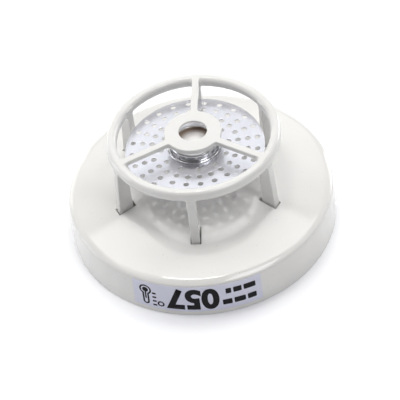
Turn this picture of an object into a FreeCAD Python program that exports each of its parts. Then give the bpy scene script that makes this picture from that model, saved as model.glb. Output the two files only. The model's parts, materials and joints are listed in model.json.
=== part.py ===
import FreeCAD, Part
import Sketcher
import os
import re

# A plug-in spot heat detector head. The origin is at the centre of the rear rim, +Z points out
# of the sensing face and -Y points to the front guard leg and the rating label.
# Lengths are in millimetres, heights are measured from the rear rim.

SIZES = {
    # moulded cover: a slightly tapered skirt, a shallow cone and a central neck
    "base_radius": 50.0,
    "corner_radius": 48.76,
    "corner_height": 15.21,
    "cone_slope": 0.215,
    "shoulder_drop": 0.75,
    "shoulder_run": 1.56,
    "shoulder_round": 1.35,
    "brow_round": 5.9,
    "roof_wall": 2.05,
    "skirt_bore": 46.9,
    "rim_bore": 47.6,
    "rim_bore_depth": 1.2,
    "neck_radius": 11.0,
    "neck_bore": 9.0,
    "neck_top": 33.1,
    "neck_round": 4.0,
    "seal_height": 30.1,
    "seal_room": 0.7,
    "seal_groove": 10.1,
    "slot_inner": 26.5,
    "slot_outer": 33.25,
    "slot_width": 3.67,
    "slot_top": 24.0,
    "slot_depth": 9.0,
    "boss_circle": 38.0,
    "boss_radius": 3.4,
    "boss_foot": 8.15,
    "boss_top": 16.45,
    "pilot_radius": 1.5,
    "pilot_top": 15.4,
    # guard cage: ring, centre annulus, three spokes and six legs with snap feet
    "guard_top": 41.3,
    "ring_inner": 27.3,
    "ring_outer": 31.1,
    "ring_bottom": 37.35,
    "ring_round": 1.4,
    "eye_radius": 10.2,
    "eye_bore": 5.0,
    "eye_bottom": 39.3,
    "spoke_width": 2.55,
    "spoke_flare": 5.4,
    "leg_thickness": 3.07,
    "leg_top_outer": 31.1,
    "leg_foot_outer": 32.95,
    "leg_foot_height": 18.4,
    "barb_reach": 34.3,
    "barb_height": 16.1,
    "leg_end": 13.2,
    # perforated heat collector disc, its washer and its clamp ring
    "collector_radius": 25.0,
    "collector_top": 33.8,
    "collector_bottom": 33.3,
    "collector_bore": 8.85,
    "hole_radius": 0.965,
    "first_row": 12.1,
    "row_pitch": 3.5,
    "clamp_bore": 8.82,
    "clamp_radius": 9.8,
    "clamp_height": 0.8,
    # thermostat: drawn cap, snap disc, pin and switch chamber
    "cap_radius": 8.8,
    "cap_wall": 0.35,
    "cap_top": 37.1,
    "cap_bottom": 27.5,
    "cap_opening": 6.6,
    "cap_lip": 7.9,
    "cap_round": 0.7,
    "keeper_inner": 7.1,
    "keeper_outer": 8.35,
    "keeper_bottom": 35.75,
    "keeper_height": 0.95,
    "snap_radius": 8.2,
    "snap_thickness": 0.3,
    "snap_rise": 0.5,
    "snap_rim": 35.25,
    "guide_radius": 8.3,
    "guide_bottom": 32.0,
    "guide_web": 1.2,
    "guide_seat": 34.55,
    "guide_seat_inner": 7.2,
    "guide_boss": 2.2,
    "guide_boss_bottom": 31.0,
    "pin_radius": 1.0,
    "pin_bore": 1.05,
    "pin_bottom": 29.2,
    "pin_top": 35.62,
    "chamber_radius": 6.95,
    "chamber_wall_top": 31.95,
    "chamber_floor": 26.0,
    "chamber_floor_bottom": 24.4,
    "stem_radius": 7.8,
    "stem_bottom": 20.0,
    "stem_shoulder": 27.9,
    "strip_width": 3.0,
    "strip_thickness": 0.5,
    "leg_outer_face": 6.6,
    "terminal_bottom": 18.5,
    "arm_seat": 28.1,
    "arm_pivot": 4.8,
    "arm_bottom": 28.9,
    "arm_thickness": 0.25,
    "arm_tail": 6.0,
    "arm_tip": 5.6,
    "contact_place": 4.6,
    "contact_radius": 0.9,
    "contact_height": 0.54,
    "fixed_rivet_place": 2.6,
    "small_rivet": 0.5,
    "small_rivet_hole": 0.55,
    "small_rivet_head": 0.95,
    # rear chassis, its screws and the plug-in contacts
    "chassis_radius": 46.4,
    "chassis_bottom": 6.0,
    "chassis_top": 8.0,
    "lip_inner": 44.8,
    "lip_top": 12.5,
    "rib_height": 1.2,
    "rib_width": 1.6,
    "hub_rib_radius": 13.2,
    "lug_inner": 40.6,
    "lug_step": 42.2,
    "lug_outer": 44.6,
    "lug_bottom": 1.4,
    "lug_flange": 1.6,
    "lug_angle": 18.0,
    "screw_head": 2.9,
    "screw_head_height": 2.0,
    "screw_shank": 1.45,
    "screw_tip": 15.2,
    "screw_hole": 1.7,
    "metal": 0.8,
    "rivet_circle": 26.5,
    "rivet_radius": 1.2,
    "rivet_hole": 1.25,
    "rivet_head": 2.1,
    "rivet_head_height": 0.6,
    "busbar_inner": 24.5,
    "busbar_outer": 28.5,
    "busbar_angle": 104.0,
    "riser_top": 22.5,
    "blade_width": 6.0,
    "blade_face": 29.6,
    "blade_reach": 34.5,
    "blade_bottom": 1.4,
    # rating label on the skirt
    "label_bottom": 2.1,
    "label_top": 14.2,
    "label_gap": 0.02,
    "label_thickness": 0.11,
    "label_angle": 53.6,
}

LABEL_AZIMUTH = -90.2
LEG_AZIMUTH = 30.0
SPOKE_AZIMUTH = 90.0
HOLE_AZIMUTH = 8.0
BLADE_AZIMUTH = 45.0
LUG_AZIMUTH = 60.0

doc = FreeCAD.newDocument("HeatDetector")
sheet = doc.addObject("Spreadsheet::Sheet", "Sizes")
for row, (alias, value) in enumerate(SIZES.items(), start=1):
    sheet.set(f"A{row}", alias)
    sheet.set(f"B{row}", str(value))
    sheet.setAlias(f"B{row}", alias)
doc.recompute()

nodes = []


def bound(expression):
    """The expression with every size name pointing into the sheet."""
    return re.sub(
        r"[a-z_]+",
        lambda word: f"Sizes.{word.group()}" if word.group() in SIZES else word.group(),
        expression,
    )


def add_body(label, azimuth=0.0, loose_solids=False):
    """A new sub-part, turned about the Z axis; loose_solids lets it hold several like pieces."""
    body = doc.addObject("PartDesign::Body", label)
    body.Label = label
    body.AllowCompound = loose_solids
    body.Placement = FreeCAD.Placement(
        FreeCAD.Vector(0, 0, 0), FreeCAD.Rotation(FreeCAD.Vector(0, 0, 1), azimuth)
    )
    nodes.append(body)
    return body


def origin_feature(body, role):
    return next(f for f in body.Origin.OriginFeatures if f.Role == role)


def add_sketch(body, name, plane, lift="0", turn=0.0):
    """An empty sketch on an origin plane, lifted along its normal and turned about the Z axis."""
    upright = FreeCAD.Vector(0, 0, 1) if plane == "XY_Plane" else FreeCAD.Vector(0, 1, 0)
    sketch = body.newObject("Sketcher::SketchObject", name)
    sketch.AttachmentSupport = (origin_feature(body, plane), [""])
    sketch.MapMode = "FlatFace"
    sketch.AttachmentOffset = FreeCAD.Placement(
        FreeCAD.Vector(0, 0, 0), FreeCAD.Rotation(upright, turn)
    )
    sketch.setExpression(".AttachmentOffset.Base.z", bound(lift))
    return sketch


def constrain(sketch, name, expression, *reference):
    """One driving dimension of a sketch, bound to the sheet."""
    value = float(sketch.evalExpression(bound(expression)))
    index = sketch.addConstraint(Sketcher.Constraint(*reference, value))
    sketch.renameConstraint(index, name)
    sketch.setExpression(f"Constraints.{name}", bound(expression))


def draw_polygon(sketch, points):
    """A closed outline through (across, up) pairs of expressions."""
    first = sketch.GeometryCount
    count = len(points)
    places = [
        FreeCAD.Vector(*(float(sketch.evalExpression(bound(part))) for part in point))
        for point in points
    ]
    for index in range(count):
        sketch.addGeometry(Part.LineSegment(places[index], places[(index + 1) % count]))
    for index in range(count):
        after = first + (index + 1) % count
        sketch.addConstraint(Sketcher.Constraint("Coincident", first + index, 2, after, 1))
    for index, (across, up) in enumerate(points, start=first):
        constrain(sketch, f"across_{index}", across, "DistanceX", -1, 1, index, 1)
        constrain(sketch, f"up_{index}", up, "DistanceY", -1, 1, index, 1)


def draw_circle(sketch, radius, across="0", up="0"):
    """A circle with its centre at a pair of expressions."""
    index = sketch.GeometryCount
    centre = FreeCAD.Vector(*(float(sketch.evalExpression(bound(part))) for part in (across, up)))
    size = float(sketch.evalExpression(bound(radius)))
    sketch.addGeometry(Part.Circle(centre, FreeCAD.Vector(0, 0, 1), size))
    constrain(sketch, f"across_{index}", across, "DistanceX", -1, 1, index, 3)
    constrain(sketch, f"up_{index}", up, "DistanceY", -1, 1, index, 3)
    constrain(sketch, f"radius_{index}", radius, "Radius", index)


def rectangle(near, far, half_width):
    """Corners of a rectangle that lies along the first axis, centred across it."""
    return [
        (near, f"-({half_width})"),
        (far, f"-({half_width})"),
        (far, half_width),
        (near, half_width),
    ]


def upright_box(near, far, bottom, top):
    """Corners of a rectangle in a radial plane."""
    return [(near, bottom), (far, bottom), (far, top), (near, top)]


def turned(body, name, points, angle=None, turn=0.0, axis_at=None):
    """A profile in the XZ plane turned about the Z axis, or about a line parallel to it."""
    sketch = add_sketch(body, f"{name}_sketch", "XZ_Plane", turn=turn)
    draw_polygon(sketch, points)
    axis_name = "V_Axis"
    if axis_at:
        place = float(sketch.evalExpression(bound(axis_at)))
        line = sketch.addGeometry(
            Part.LineSegment(FreeCAD.Vector(place, 0, 0), FreeCAD.Vector(place, 1, 0)), True
        )
        sketch.addConstraint(Sketcher.Constraint("Vertical", line))
        constrain(sketch, "axis_place", axis_at, "DistanceX", -1, 1, line, 1)
        constrain(sketch, "axis_start", "0", "DistanceY", -1, 1, line, 1)
        constrain(sketch, "axis_end", "1", "DistanceY", -1, 1, line, 2)
        axis_name = "Axis0"
    feature = body.newObject("PartDesign::Revolution", name)
    feature.Profile = (sketch, [""])
    feature.ReferenceAxis = (sketch, [axis_name])
    feature.Angle = 360
    if angle:
        feature.Midplane = True
        feature.setExpression("Angle", bound(angle))
    return feature


def padded(body, name, points, bottom, height, turn=0.0):
    """An outline in the XY plane, padded upwards from a height."""
    sketch = add_sketch(body, f"{name}_sketch", "XY_Plane", lift=bottom, turn=turn)
    draw_polygon(sketch, points)
    feature = body.newObject("PartDesign::Pad", name)
    feature.Profile = (sketch, [""])
    feature.setExpression("Length", bound(height))
    return feature


def radial_plate(body, name, points, thickness, turn=0.0):
    """An outline in a radial plane, padded to both sides."""
    sketch = add_sketch(body, f"{name}_sketch", "XZ_Plane", turn=turn)
    draw_polygon(sketch, points)
    feature = body.newObject("PartDesign::Pad", name)
    feature.Profile = (sketch, [""])
    feature.SideType = "Symmetric"
    feature.setExpression("Length", bound(thickness))
    return feature


def cut_down(body, name, top, depth, polygons=(), circles=(), turn=0.0):
    """Outlines cut downwards from a height; the cut must take something away."""
    sketch = add_sketch(body, f"{name}_sketch", "XY_Plane", lift=top, turn=turn)
    for points in polygons:
        draw_polygon(sketch, points)
    for circle in circles:
        draw_circle(sketch, *circle)
    doc.recompute()
    before = body.Shape.Volume
    feature = body.newObject("PartDesign::Pocket", name)
    feature.Profile = (sketch, [""])
    feature.setExpression("Length", bound(depth))
    doc.recompute()
    if body.Shape.Volume >= before:
        raise RuntimeError(f"{name} cuts nothing")
    return feature


def repeat(body, name, features, count):
    """The features repeated round the Z axis."""
    pattern = body.newObject("PartDesign::PolarPattern", name)
    pattern.Originals = features
    pattern.Axis = (origin_feature(body, "Z_Axis"), [""])
    pattern.Angle = 360
    pattern.Occurrences = count
    body.Tip = pattern
    doc.recompute()
    return pattern


def round_edges(body, name, radius, places):
    """Fillet every full circular edge at one of the (radius, height) places, given as sizes."""
    doc.recompute()
    base = body.Tip
    targets = [[float(sheet.evalExpression(bound(part))) for part in place] for place in places]
    names = []
    for index, edge in enumerate(base.Shape.Edges, start=1):
        if not isinstance(edge.Curve, Part.Circle):
            continue
        for target_radius, target_height in targets:
            off = abs(edge.Curve.Radius - target_radius) + abs(edge.Curve.Center.z - target_height)
            if off < 1e-4:
                names.append(f"Edge{index}")
    feature = body.newObject("PartDesign::Fillet", name)
    feature.Base = (base, names)
    feature.setExpression("Radius", bound(radius))
    doc.recompute()
    return feature


def cone_height(radius):
    """Height of the cover's outer cone at a radius."""
    return f"corner_height+(corner_radius-{radius})*cone_slope"


# ---------------------------------------------------------------- outer mouldings


def make_cover():
    body = add_body("cover")
    taper = "(base_radius-corner_radius)/corner_height"
    shoulder = (
        f"base_radius-{taper}*(corner_height-shoulder_drop)", "corner_height-shoulder_drop"
    )
    brow = ("corner_radius-shoulder_run", cone_height("(corner_radius-shoulder_run)"))
    turned(body, "cover_shell", [
        ("base_radius", "0"),
        shoulder,
        brow,
        ("neck_radius", cone_height("neck_radius")),
        ("neck_radius", "neck_top"),
        ("neck_bore", "neck_top"),
        ("neck_bore", "seal_height+seal_room"),
        ("seal_groove", "seal_height+seal_room"),
        ("seal_groove", "seal_height-seal_room"),
        ("neck_bore", "seal_height-seal_room"),
        ("neck_bore", cone_height("neck_bore") + "-roof_wall"),
        ("skirt_bore", cone_height("skirt_bore") + "-roof_wall"),
        ("skirt_bore", "rim_bore_depth"),
        ("rim_bore", "rim_bore_depth"),
        ("rim_bore", "0"),
    ])
    round_edges(body, "shoulder", "shoulder_round", [shoulder])
    round_edges(body, "brow", "brow_round", [brow])
    round_edges(body, "neck_foot", "neck_round", [("neck_radius", cone_height("neck_radius"))])
    slot = cut_down(
        body,
        "leg_slot",
        "slot_top",
        "slot_depth",
        polygons=[rectangle("slot_inner", "slot_outer", "slot_width/2")],
        turn=LEG_AZIMUTH,
    )
    repeat(body, "leg_slots", [slot], 6)
    sketch = add_sketch(body, "screw_boss_sketch", "XY_Plane", lift="boss_foot")
    draw_circle(sketch, "boss_radius", "boss_circle")
    boss = body.newObject("PartDesign::Pad", "screw_boss")
    boss.Profile = (sketch, [""])
    boss.setExpression("Length", bound("boss_top-boss_foot"))
    repeat(body, "screw_bosses", [boss], 3)
    pilot = cut_down(
        body,
        "screw_pilot",
        "pilot_top",
        "pilot_top-boss_foot+1",
        circles=[("pilot_radius", "boss_circle")],
    )
    repeat(body, "screw_pilots", [pilot], 3)


def make_guard_cage():
    body = add_body("guard_cage")
    turned(body, "guard_ring", upright_box("ring_inner", "ring_outer", "ring_bottom", "guard_top"))
    corners = [
        (radius, height)
        for radius in ("ring_inner", "ring_outer")
        for height in ("ring_bottom", "guard_top")
    ]
    round_edges(body, "ring_edges", "ring_round", corners)
    leg = radial_plate(
        body,
        "leg",
        [
            ("ring_inner", "leg_end"),
            ("ring_inner", "guard_top-ring_round"),
            ("leg_top_outer-ring_round", "guard_top-ring_round"),
            ("leg_top_outer", "ring_bottom+ring_round/2"),
            ("leg_foot_outer", "leg_foot_height"),
            ("leg_foot_outer", "barb_height"),
            ("barb_reach", "barb_height"),
            ("barb_reach", "barb_height-0.7"),
            ("leg_foot_outer-1", "leg_end"),
        ],
        "leg_thickness",
        turn=LEG_AZIMUTH,
    )
    repeat(body, "legs", [leg], 6)
    sketch = add_sketch(body, "eye_sketch", "XY_Plane", lift="eye_bottom")
    draw_circle(sketch, "eye_radius")
    draw_circle(sketch, "eye_bore")
    spoke = padded(
        body,
        "spoke",
        [
            ("eye_radius-1", "-spoke_flare/2"),
            ("eye_radius+0.3", "-spoke_flare/2+0.7"),
            ("eye_radius+1.4", "-spoke_width/2"),
            ("ring_inner-1.4", "-spoke_width/2"),
            ("ring_inner", "-spoke_flare/2+0.7"),
            ("ring_inner+1.5", "-spoke_flare/2"),
            ("ring_inner+1.5", "spoke_flare/2"),
            ("ring_inner", "spoke_flare/2-0.7"),
            ("ring_inner-1.4", "spoke_width/2"),
            ("eye_radius+1.4", "spoke_width/2"),
            ("eye_radius+0.3", "spoke_flare/2-0.7"),
            ("eye_radius-1", "spoke_flare/2"),
        ],
        "eye_bottom",
        "guard_top-eye_bottom",
        turn=SPOKE_AZIMUTH,
    )
    repeat(body, "spokes", [spoke], 3)
    eye = body.newObject("PartDesign::Pad", "eye")
    eye.Profile = (sketch, [""])
    eye.setExpression("Length", bound("guard_top-eye_bottom"))
    doc.recompute()


def make_rating_label():
    body = add_body("rating_label", LABEL_AZIMUTH)
    taper = "(base_radius-corner_radius)/corner_height"
    points = []
    for height, offset in (
        ("label_bottom", "label_gap"),
        ("label_bottom", "label_gap+label_thickness"),
        ("label_top", "label_gap+label_thickness"),
        ("label_top", "label_gap"),
    ):
        points.append((f"base_radius-{taper}*{height}+{offset}", height))
    turned(body, "label_film", points, angle="label_angle")


# ---------------------------------------------------------------- heat collector


def make_collector_disc():
    body = add_body("collector_disc")
    turned(
        body,
        "disc_blank",
        upright_box("collector_bore", "collector_radius", "collector_bottom", "collector_top"),
    )
    first_row = cut_down(
        body,
        "first_row_hole",
        "collector_top",
        "collector_top-collector_bottom",
        circles=[("hole_radius", "first_row")],
        turn=HOLE_AZIMUTH,
    )
    repeat(body, "first_row_holes", [first_row], 12)
    outer_rows = cut_down(
        body,
        "outer_row_hole",
        "collector_top",
        "collector_top-collector_bottom",
        circles=[("hole_radius", f"first_row+{row}*row_pitch") for row in (1, 2, 3)],
        turn=HOLE_AZIMUTH,
    )
    repeat(body, "outer_row_holes", [outer_rows], 24)


def make_collector_washer():
    body = add_body("collector_washer")
    points = upright_box("neck_bore", "neck_radius", "neck_top", "collector_bottom")
    turned(body, "washer", points)


def make_clamp_ring():
    body = add_body("clamp_ring")
    top = "collector_top+clamp_height"
    turned(body, "bead", upright_box("clamp_bore", "clamp_radius", "collector_top", top))
    round_edges(body, "bead_round", "clamp_height/2", [("clamp_radius", top)])


# ---------------------------------------------------------------- thermostat


def make_thermostat_cap():
    body = add_body("thermostat_cap")
    inner = "cap_radius-cap_wall"
    turned(body, "drawn_cap", [
        ("cap_radius", "cap_bottom"),
        ("cap_radius", "cap_top"),
        ("cap_opening", "cap_top"),
        ("cap_opening", "cap_top-cap_wall"),
        (inner, "cap_top-cap_wall"),
        (inner, "cap_bottom+cap_wall"),
        ("cap_lip", "cap_bottom+cap_wall"),
        ("cap_lip", "cap_bottom"),
    ])
    round_edges(body, "cap_edge", "cap_round", [("cap_radius", "cap_top")])


def make_disc_keeper_ring():
    body = add_body("disc_keeper_ring")
    top = "keeper_bottom+keeper_height"
    turned(body, "keeper", upright_box("keeper_inner", "keeper_outer", "keeper_bottom", top))


def make_bimetal_disc():
    """A shallow dished disc: the shell between two spheres, trimmed to its round edge."""
    sphere_radius = "(snap_radius^2+snap_rise^2)/(2*snap_rise)"
    centre = f"snap_rim+snap_rise-{sphere_radius}"
    spheres = []
    for name, extra in (("snap_outer_sphere", "+snap_thickness"), ("snap_inner_sphere", "")):
        sphere = doc.addObject("Part::Sphere", name)
        sphere.Angle1 = 0
        sphere.setExpression("Radius", bound(sphere_radius + extra))
        sphere.setExpression(".Placement.Base.z", bound(centre))
        spheres.append(sphere)
    shell = doc.addObject("Part::Cut", "snap_shell")
    shell.Base = spheres[0]
    shell.Tool = spheres[1]
    blank = doc.addObject("Part::Cylinder", "snap_blank")
    blank.setExpression("Radius", bound("snap_radius"))
    blank.setExpression("Height", bound("snap_rise+2"))
    blank.setExpression(".Placement.Base.z", bound("snap_rim-1"))
    disc = doc.addObject("Part::Common", "bimetal_disc")
    disc.Label = "bimetal_disc"
    disc.Base = shell
    disc.Tool = blank
    nodes.append(disc)


def make_pin_guide():
    body = add_body("pin_guide")
    turned(body, "guide_cup", [
        ("pin_bore", "guide_boss_bottom"),
        ("guide_boss", "guide_boss_bottom"),
        ("guide_boss", "guide_bottom"),
        ("guide_radius", "guide_bottom"),
        ("guide_radius", "guide_seat"),
        ("guide_seat_inner", "guide_seat"),
        ("guide_seat_inner", "guide_bottom+guide_web"),
        ("pin_bore", "guide_bottom+guide_web"),
    ])


def make_transfer_pin():
    body = add_body("transfer_pin")
    turned(body, "pin", upright_box("0", "pin_radius", "pin_bottom", "pin_top"))
    round_edges(body, "pin_foot", "pin_radius*0.95", [("pin_radius", "pin_bottom")])
    round_edges(body, "pin_head", "pin_radius*0.6", [("pin_radius", "pin_top")])


def make_thermostat_base():
    body = add_body("thermostat_base")
    turned(body, "base_shell", [
        ("0", "chamber_floor_bottom"),
        ("chamber_radius", "chamber_floor_bottom"),
        ("chamber_radius", "stem_bottom"),
        ("stem_radius", "stem_bottom"),
        ("stem_radius", "stem_shoulder"),
        ("guide_radius", "stem_shoulder"),
        ("guide_radius", "chamber_wall_top"),
        ("chamber_radius", "chamber_wall_top"),
        ("chamber_radius", "chamber_floor"),
        ("0", "chamber_floor"),
    ])
    padded(
        body,
        "arm_post",
        rectangle(
            "-(leg_outer_face-strip_thickness-0.05)",
            "-(arm_pivot-1.4)",
            "strip_width/2+0.1",
        ),
        "chamber_floor",
        "arm_seat-chamber_floor",
    )
    slot_depth = "chamber_floor-chamber_floor_bottom"
    for name, side in (("arm_terminal_slot", "-"), ("fixed_terminal_slot", "")):
        near = f"{side}(leg_outer_face-strip_thickness-0.05)"
        far = f"{side}(leg_outer_face+0.05)"
        outline = rectangle(near, far, "strip_width/2+0.05")
        cut_down(body, name, "chamber_floor", slot_depth, polygons=[outline])
    cut_down(
        body,
        "rivet_holes",
        "arm_seat",
        "arm_seat-chamber_floor_bottom",
        circles=[
            ("small_rivet_hole", "-arm_pivot"),
            ("small_rivet_hole", "fixed_rivet_place"),
        ],
    )


def make_neck_seal():
    ring = doc.addObject("Part::Torus", "neck_seal")
    ring.Label = "neck_seal"
    ring.setExpression("Radius1", bound("(cap_radius+seal_groove)/2"))
    ring.setExpression("Radius2", bound("(seal_groove-cap_radius)/2-0.1"))
    ring.setExpression(".Placement.Base.z", bound("seal_height"))
    nodes.append(ring)


def make_thermostat_clip():
    """A push-on spring washer with six slits, which holds the thermostat in the neck."""
    body = add_body("thermostat_clip")
    top = cone_height("(neck_radius-0.6)") + "-roof_wall-0.1"
    points = upright_box("stem_radius+0.05", "neck_radius-0.6", f"{top}-0.5", top)
    turned(body, "clip", points)
    outline = rectangle("stem_radius-0.5", "stem_radius+1.2", "0.4")
    slit = cut_down(body, "clip_slit", f"{top}+1", "3", polygons=[outline])
    repeat(body, "clip_slits", [slit], 6)


def terminal_profile(seat, pad_end, side):
    """A stamped strip: a pad that lies on a seat and a leg that goes down through the floor."""
    near = f"{side}(leg_outer_face-strip_thickness)"
    far = f"{side}leg_outer_face"
    return [
        (far, "terminal_bottom"),
        (near, "terminal_bottom"),
        (near, seat),
        (pad_end, seat),
        (pad_end, f"{seat}+strip_thickness"),
        (far, f"{seat}+strip_thickness"),
    ]


def make_switch_terminals():
    terminals = (
        ("arm_terminal", "arm_seat", "-(arm_pivot-1.4)", "-", "-arm_pivot"),
        ("fixed_terminal", "chamber_floor", "fixed_rivet_place-1", "", "fixed_rivet_place"),
    )
    for label, seat, pad_end, side, rivet_place in terminals:
        body = add_body(label)
        radial_plate(body, "strip", terminal_profile(seat, pad_end, side), "strip_width")
        top = f"{seat}+strip_thickness"
        hole = ("small_rivet_hole", rivet_place)
        cut_down(body, "rivet_hole", top, "strip_thickness", circles=[hole])


def make_contact_arm():
    body = add_body("contact_arm")
    outline = rectangle("-arm_tail", "arm_tip", "strip_width/2")
    padded(body, "spring_strip", outline, "arm_bottom", "arm_thickness")
    hole = ("small_rivet_hole+0.25", "-arm_pivot")
    cut_down(body, "pivot_hole", "arm_bottom+arm_thickness", "arm_thickness", circles=[hole])


def make_contact_tips():
    """Two silver buttons that face each other across the open gap."""
    places = (
        ("moving_contact", "arm_bottom-contact_height"),
        ("fixed_contact", "chamber_floor+strip_thickness"),
    )
    for label, bottom in places:
        tip = doc.addObject("Part::Cylinder", label)
        tip.Label = label
        tip.setExpression("Radius", bound("contact_radius"))
        tip.setExpression("Height", bound("contact_height"))
        tip.setExpression(".Placement.Base.x", bound("contact_place"))
        tip.setExpression(".Placement.Base.z", bound(bottom))
        nodes.append(tip)


def rivet_profile(axis, neck, head, bottom, seat, shoulder, top):
    """Half outline of a rivet with a head at each end, about a line at axis."""
    return [
        (axis, bottom),
        (f"{axis}+{head}", bottom),
        (f"{axis}+{head}", seat),
        (f"{axis}+{neck}", seat),
        (f"{axis}+{neck}", shoulder),
        (f"{axis}+{head}", shoulder),
        (f"{axis}+{head}", top),
        (axis, top),
    ]


def make_switch_rivets():
    rivets = (
        ("arm_rivet", "-arm_pivot", "arm_bottom+arm_thickness+0.25"),
        ("fixed_terminal_rivet", "fixed_rivet_place", "chamber_floor+strip_thickness"),
    )
    for label, axis, shoulder in rivets:
        body = add_body(label)
        points = rivet_profile(
            axis,
            "small_rivet",
            "small_rivet_head",
            "chamber_floor_bottom-0.4",
            "chamber_floor_bottom",
            shoulder,
            f"{shoulder}+0.4",
        )
        turned(body, "rivet", points, axis_at=axis)


# ---------------------------------------------------------------- rear chassis and contacts


def make_chassis_plate():
    body = add_body("chassis_plate")
    turned(body, "plate", [
        ("0", "chassis_bottom"),
        ("chassis_radius", "chassis_bottom"),
        ("chassis_radius", "lip_top"),
        ("lip_inner", "lip_top"),
        ("lip_inner", "chassis_top"),
        ("0", "chassis_top"),
    ])
    rib_bottom = "chassis_bottom-rib_height"
    turned(
        body,
        "hub_rib",
        upright_box("hub_rib_radius-rib_width", "hub_rib_radius", rib_bottom, "chassis_bottom"),
    )
    outline = rectangle("hub_rib_radius-rib_width/2", "lug_inner", "rib_width/2")
    rib = padded(body, "rib", outline, rib_bottom, "rib_height", turn=LUG_AZIMUTH)
    repeat(body, "ribs", [rib], 3)
    lug = turned(
        body,
        "lug",
        [
            ("lug_inner", "lug_bottom"),
            ("lug_outer", "lug_bottom"),
            ("lug_outer", "lug_bottom+lug_flange"),
            ("lug_step", "lug_bottom+lug_flange"),
            ("lug_step", "chassis_bottom"),
            ("lug_inner", "chassis_bottom"),
        ],
        angle="lug_angle",
        turn=LUG_AZIMUTH,
    )
    repeat(body, "lugs", [lug], 3)
    thickness = "chassis_top-chassis_bottom"
    screw_hole = cut_down(
        body, "screw_hole", "chassis_top", thickness, circles=[("screw_hole", "boss_circle")]
    )
    repeat(body, "screw_holes", [screw_hole], 3)
    slot = rectangle("blade_face-0.1", "blade_face+metal+0.1", "blade_width/2+0.2")
    blade_slot = cut_down(
        body, "blade_slot", "chassis_top", thickness, polygons=[slot], turn=BLADE_AZIMUTH
    )
    repeat(body, "blade_slots", [blade_slot], 4)
    rivet_hole = cut_down(
        body,
        "rivet_hole",
        "chassis_top",
        thickness,
        circles=[("rivet_hole", "rivet_circle")],
        turn=BLADE_AZIMUTH,
    )
    repeat(body, "rivet_holes", [rivet_hole], 4)


def make_chassis_screws():
    body = add_body("chassis_screws", loose_solids=True)
    head_bottom = "chassis_bottom-screw_head_height"
    screw = turned(
        body,
        "screw",
        [
            ("boss_circle", head_bottom),
            ("boss_circle+screw_head*0.75", head_bottom),
            ("boss_circle+screw_head", "chassis_bottom-screw_head_height*0.6"),
            ("boss_circle+screw_head", "chassis_bottom"),
            ("boss_circle+screw_shank", "chassis_bottom"),
            ("boss_circle+screw_shank", "screw_tip-1.5"),
            ("boss_circle+0.3", "screw_tip"),
            ("boss_circle", "screw_tip"),
        ],
        axis_at="boss_circle",
    )
    arm = "screw_head*0.6"
    half = "screw_head*0.13"
    recess = cut_down(
        body,
        "cross_recess",
        f"{head_bottom}+1",
        "1.2",
        polygons=[[
            (f"boss_circle-{arm}", f"-{half}"),
            (f"boss_circle-{half}", f"-{half}"),
            (f"boss_circle-{half}", f"-{arm}"),
            (f"boss_circle+{half}", f"-{arm}"),
            (f"boss_circle+{half}", f"-{half}"),
            (f"boss_circle+{arm}", f"-{half}"),
            (f"boss_circle+{arm}", half),
            (f"boss_circle+{half}", half),
            (f"boss_circle+{half}", arm),
            (f"boss_circle-{half}", arm),
            (f"boss_circle-{half}", half),
            (f"boss_circle-{arm}", half),
        ]],
    )
    repeat(body, "screws", [screw, recess], 3)


def make_terminal_blades():
    """Four plug-in contacts: a riveted tab, a leg through the chassis and a flat foot."""
    for number in range(4):
        body = add_body(f"terminal_blade_{number + 1}", BLADE_AZIMUTH + 90 * number)
        points = [
            ("busbar_inner", "chassis_top"),
            ("busbar_inner", "chassis_top+metal"),
            ("blade_face+metal", "chassis_top+metal"),
            ("blade_face+metal", "blade_bottom+metal"),
            ("blade_reach", "blade_bottom+metal"),
            ("blade_reach", "blade_bottom"),
            ("blade_face", "blade_bottom"),
            ("blade_face", "chassis_top"),
        ]
        radial_plate(body, "blade", points, "blade_width")
        hole = ("rivet_hole", "rivet_circle")
        cut_down(body, "rivet_hole", "chassis_top+metal", "metal", circles=[hole])


def make_terminal_rivets():
    body = add_body("terminal_rivets", loose_solids=True)
    points = rivet_profile(
        "rivet_circle",
        "rivet_radius",
        "rivet_head",
        "chassis_bottom-rivet_head_height",
        "chassis_bottom",
        "chassis_top+2*metal",
        "chassis_top+2*metal+rivet_head_height",
    )
    rivet = turned(body, "rivet", points, turn=BLADE_AZIMUTH, axis_at="rivet_circle")
    repeat(body, "rivets", [rivet], 4)


def make_busbars():
    """Two stamped strips; each joins two plug-in contacts to one terminal of the thermostat."""
    for label, azimuth in (("busbar_right", 0.0), ("busbar_left", 180.0)):
        body = add_body(label, azimuth)
        bottom = "chassis_top+metal"
        arc = upright_box("busbar_inner", "busbar_outer", bottom, f"{bottom}+metal")
        turned(body, "arc", arc, angle="busbar_angle")
        inner_face = "leg_outer_face-2*strip_thickness"
        outline = rectangle(inner_face, "busbar_inner+1", "strip_width/2")
        padded(body, "arm", outline, bottom, "metal")
        riser = upright_box(inner_face, f"{inner_face}+strip_thickness", bottom, "riser_top")
        radial_plate(body, "riser", riser, "strip_width")
        for name, turn in (("first_hole", BLADE_AZIMUTH), ("second_hole", -BLADE_AZIMUTH)):
            hole = ("rivet_hole", "rivet_circle")
            cut_down(body, name, f"{bottom}+metal", "metal", circles=[hole], turn=turn)


make_cover()
make_guard_cage()
make_rating_label()
make_collector_disc()
make_collector_washer()
make_clamp_ring()
make_thermostat_cap()
make_disc_keeper_ring()
make_bimetal_disc()
make_pin_guide()
make_transfer_pin()
make_thermostat_base()
make_neck_seal()
make_thermostat_clip()
make_switch_terminals()
make_contact_arm()
make_contact_tips()
make_switch_rivets()
make_chassis_plate()
make_chassis_screws()
make_terminal_blades()
make_terminal_rivets()
make_busbars()
doc.recompute()

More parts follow.
